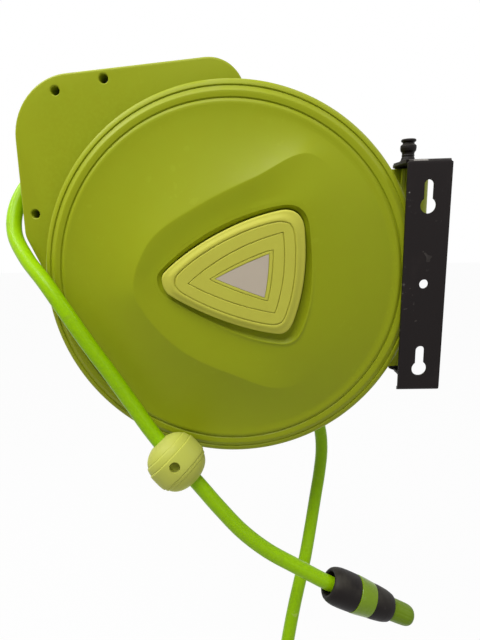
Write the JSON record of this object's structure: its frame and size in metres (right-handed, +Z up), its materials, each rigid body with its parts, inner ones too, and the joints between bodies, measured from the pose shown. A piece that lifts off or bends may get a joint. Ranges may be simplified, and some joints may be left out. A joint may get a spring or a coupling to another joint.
{
  "type": "retractable hose reel",
  "caption": "Wall-mounted retractable garden hose reel: round sprung-drum housing with an outlet box, swinging on a folded bracket's pull-out pin, with hose, stopper ball and spray nozzle.",
  "frame": {"origin": "on the bracket plate's wall side, on its centre line, midway between the centre hole and the upper keyhole", "axes": "-Y out of the plate's wall side, +Z up, +X from the drum to the pivot"},
  "size_m": [0.4808, 0.2308, 0.928],
  "materials": {
    "bracket_black": "fine textured powder coat",
    "steel": "satin",
    "moulded_black": "satin moulded",
    "housing_green": "semi-gloss moulded",
    "pale_green": "fine matt",
    "label_grey": "satin",
    "hose_green": "glossy extruded",
    "drum_grey": "satin moulded",
    "rubber_black": "matt",
    "brass": "satin"
  },
  "bodies": {
    "bracket": {"wall_bracket": "bracket_black"},
    "pivot_pin": {"pivot_rod": "steel", "pivot_knob": "moulded_black"},
    "reel": {"front_shell": "housing_green", "rear_shell": "housing_green", "front_cap": "pale_green", "rear_cap": "pale_green", "label_plate": "label_grey", "upper_bush": "moulded_black", "lower_bush": "moulded_black", "swing_stop": "rubber_black", "box_screw_1": "steel", "box_screw_2": "steel", "box_screw_3": "steel", "lug_screw_1": "steel", "lug_screw_2": "steel", "outlet_frame": "moulded_black", "guide_pin_lower": "steel", "guide_pin_upper": "steel", "guide_pin_front": "steel", "guide_pin_rear": "steel", "inlet_elbow": "brass", "inlet_clamp": "steel", "inlet_grommet": "rubber_black", "inlet_tail": "hose_green", "spring_arbor": "steel", "pawl_pin": "steel", "pawl_spring": "steel", "hose_run": "hose_green", "leader_hose": "hose_green", "inlet_hose": "hose_green", "inlet_coil": "hose_green", "stop_ball_front": "pale_green", "stop_ball_rear": "pale_green", "ball_screw": "steel", "nozzle_collar": "moulded_black", "nozzle_band": "hose_green", "nozzle_body": "moulded_black", "coil_tie": "rubber_black", "connector_nut": "moulded_black", "connector_body": "hose_green"},
    "drum": {"drum_core": "drum_grey", "front_flange": "drum_grey", "rear_flange": "drum_grey", "spring_cover": "drum_grey", "mainspring": "steel", "wound_hose": "hose_green", "outlet_stub": "brass", "stub_clamp": "steel", "hub_seal_inner": "rubber_black", "hub_seal_outer": "rubber_black"},
    "pawl": {"pawl": "moulded_black"},
    "roller_lower": {"roller_lower": "drum_grey"},
    "roller_upper": {"roller_upper": "drum_grey"},
    "roller_front": {"roller_front": "drum_grey"},
    "roller_rear": {"roller_rear": "drum_grey"},
    "tip": {"nozzle_tip": "hose_green"}
  },
  "joints": [
    {"name": "reel_swivel", "type": "hinge", "parent": "bracket", "child": "reel", "pos_m": [0, 0.078, -0.03], "axis": [0, 0, 1], "range_deg": [-180, 0]},
    {"name": "pin_lift", "type": "slide", "parent": "bracket", "child": "pivot_pin", "axis": [0, 0, 1], "range_m": [0, 0.25]},
    {"name": "drum_spin", "type": "hinge", "parent": "reel", "child": "drum", "pos_m": [-0.2025, 0.078, -0.03], "axis": [0, -1, 0], "continuous": true},
    {"name": "pawl_swing", "type": "hinge", "parent": "reel", "child": "pawl", "pos_m": [-0.3066, 0.0151, -0.0654], "axis": [0, -1, 0], "range_deg": [0, 29], "stiffness_Nm_per_rad": 0.02},
    {"name": "roller_lower_spin", "type": "hinge", "parent": "reel", "child": "roller_lower", "pos_m": [-0.4055, 0.078, 0.0868], "axis": [0, -1, 0], "continuous": true},
    {"name": "roller_upper_spin", "type": "hinge", "parent": "reel", "child": "roller_upper", "pos_m": [-0.4055, 0.078, 0.119], "axis": [0, -1, 0], "continuous": true},
    {"name": "roller_front_spin", "type": "hinge", "parent": "reel", "child": "roller_front", "pos_m": [-0.4195, 0.054, 0.097], "axis": [0, 0, 1], "continuous": true},
    {"name": "roller_rear_spin", "type": "hinge", "parent": "reel", "child": "roller_rear", "pos_m": [-0.4195, 0.102, 0.097], "axis": [0, 0, 1], "continuous": true},
    {"name": "nozzle_twist", "type": "hinge", "parent": "reel", "child": "tip", "pos_m": [-0.0995, -0.036, -0.3696], "axis": [0.8753, 0.072, -0.4782], "range_deg": [0, 270]}
  ]
}
